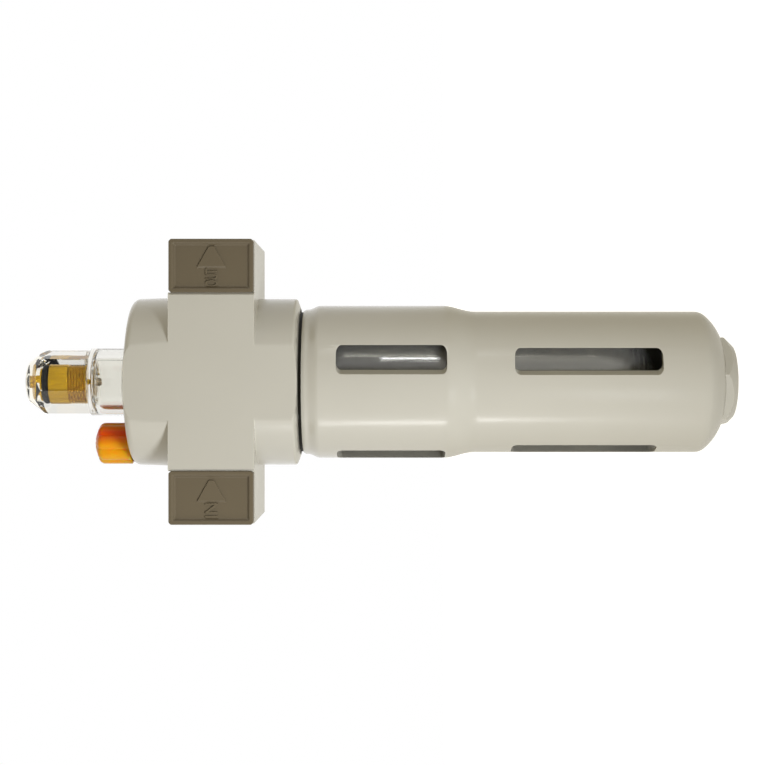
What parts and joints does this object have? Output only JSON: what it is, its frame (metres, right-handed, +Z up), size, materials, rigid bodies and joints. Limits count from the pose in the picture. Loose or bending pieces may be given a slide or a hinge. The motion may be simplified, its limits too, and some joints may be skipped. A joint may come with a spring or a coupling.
{
  "type": "air line lubricator",
  "caption": "Small air line lubricator: painted housing with threaded ports, clear sight dome with regulating screw, filler plug, and clear oil bowl in a windowed metal guard.",
  "frame": {"origin": "centre of the inlet port's mouth, on the inlet plate's outer face", "axes": "+X along the air flow from inlet to outlet, +Z up towards the sight dome, -Y towards the front with the flow arrows"},
  "size_m": [0.064, 0.0357, 0.1646],
  "materials": {
    "painted_casting": "semi-gloss beige-grey paint",
    "brown_plastic": "moulded, fine satin grain",
    "clear_plastic": "clear moulded polycarbonate",
    "brass": "turned brass",
    "orange_plastic": "moulded, satin",
    "black_rubber": "matt sealing rubber",
    "steel": "plain zinc-plated steel",
    "sintered_bronze": "porous sintered bronze",
    "inner_plastic": "moulded inner plastic"
  },
  "bodies": {
    "body": {"housing": "painted_casting", "inlet_plate": "painted_casting", "outlet_plate": "painted_casting", "inlet_cover": "brown_plastic", "outlet_cover": "brown_plastic", "plate_screws": "steel", "inlet_plate_seal": "black_rubber", "outlet_plate_seal": "black_rubber", "sight_dome": "clear_plastic", "dome_seal": "black_rubber", "drip_nozzle": "clear_plastic", "venturi_insert": "inner_plastic", "flap_pin": "steel", "check_cage": "brass", "riser_tube": "clear_plastic", "tube_strainer": "sintered_bronze"},
    "bowl": {"bowl": "clear_plastic", "bowl_seal": "black_rubber"},
    "guard": {"bowl_guard": "painted_casting", "guard_dust_ring": "black_rubber"},
    "filler_seal": {"filler_plug_seal": "black_rubber"},
    "filler": {"filler_plug": "orange_plastic"},
    "screw_seal": {"regulating_screw_seal": "black_rubber"},
    "screw": {"regulating_screw": "brass"},
    "flap": {"flow_flap": "steel"},
    "ball": {"check_ball": "steel"}
  },
  "joints": [
    {"name": "bowl_drop", "type": "slide", "parent": "body", "child": "bowl", "axis": [0, 0, -1], "range_m": [0, 0.007]},
    {"name": "guard_turn", "type": "hinge", "parent": "bowl", "child": "guard", "pos_m": [0.032, 0, -0.06], "axis": [0, 0, -1], "range_deg": [0, 1690]},
    {"name": "filler_lift", "type": "slide", "parent": "body", "child": "filler_seal", "axis": [0, 0, 1], "range_m": [0, 0.0075]},
    {"name": "filler_turn", "type": "hinge", "parent": "filler_seal", "child": "filler", "pos_m": [0.0176, 0, 0.024], "axis": [0, 0, 1], "range_deg": [0, 2175]},
    {"name": "screw_lift", "type": "slide", "parent": "body", "child": "screw_seal", "axis": [0, 0, 1], "range_m": [0, 0.00105]},
    {"name": "screw_turn", "type": "hinge", "parent": "screw_seal", "child": "screw", "pos_m": [0.032, 0, 0.036], "axis": [0, 0, 1], "range_deg": [0, 545]},
    {"name": "flap_swing", "type": "hinge", "parent": "body", "child": "flap", "pos_m": [0.0258, 0, 0.0026], "axis": [0, -1, 0], "range_deg": [0, 75]},
    {"name": "ball_lift", "type": "slide", "parent": "body", "child": "ball", "axis": [0, 0, 1], "range_m": [0, 0.0011]}
  ],
  "couplings": [
    {"joint": "guard_turn", "follows": "bowl_drop", "rad_per_m": 4188.8},
    {"joint": "filler_turn", "follows": "filler_lift", "rad_per_m": 5026.6},
    {"joint": "screw_turn", "follows": "screw_lift", "rad_per_m": 8976}
  ]
}
